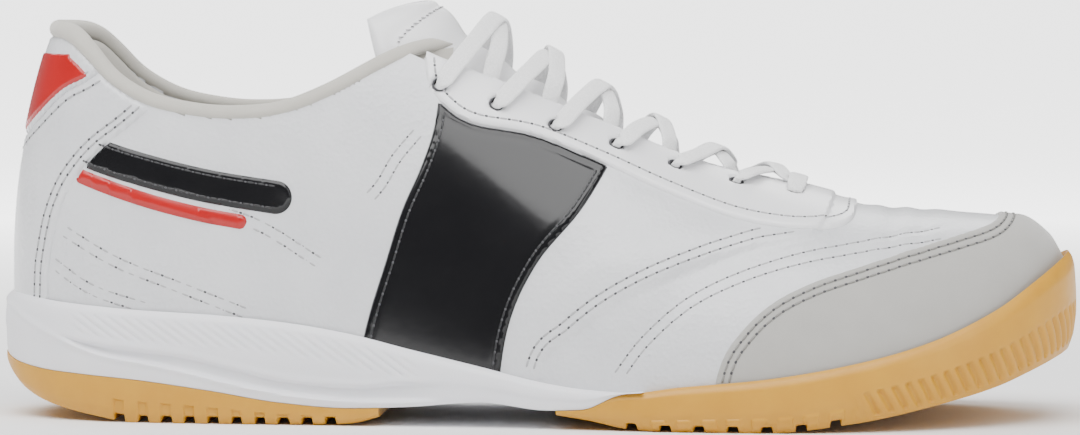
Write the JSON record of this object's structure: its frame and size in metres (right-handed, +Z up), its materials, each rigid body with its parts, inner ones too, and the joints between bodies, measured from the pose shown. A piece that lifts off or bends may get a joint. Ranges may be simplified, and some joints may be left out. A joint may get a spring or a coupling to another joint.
{
  "type": "indoor soccer shoe",
  "caption": "Low lace-up indoor court shoe for the right foot: hollow leather upper, suede toe guard, foam midsole and gum rubber outsole.",
  "frame": {"origin": "on the floor under the middle of the shoe's box", "axes": "+X from heel to toe, -Y to the outer side of the foot, +Z up"},
  "size_m": [0.2862, 0.1036, 0.1106],
  "materials": {
    "white_leather": "pearly smooth synthetic leather",
    "white_facing": "smooth synthetic leather",
    "black_patent": "glossy patent",
    "red_leather": "smooth",
    "grey_suede": "napped suede",
    "collar_textile": "soft brushed textile",
    "white_foam": "moulded foam",
    "gum_rubber": "semi-matte gum rubber",
    "white_lace": "flat woven lace"
  },
  "bodies": {
    "root": {"upper": "white_leather", "backstay": "white_leather", "tongue": "white_leather", "eyestay": "white_facing", "saddle_outer": "black_patent", "saddle_inner": "black_patent", "heel_tab": "red_leather", "toe_guard": "grey_suede", "collar_binding": "collar_textile", "insole": "collar_textile", "midsole": "white_foam", "outsole_heel": "gum_rubber", "outsole_front": "gum_rubber", "lace_bar": "white_lace", "lace_cross_1": "white_lace", "lace_cross_2": "white_lace", "lace_cross_3": "white_lace", "lace_cross_4": "white_lace", "lace_cross_5": "white_lace", "lace_cross_6": "white_lace"}
  },
  "joints": []
}
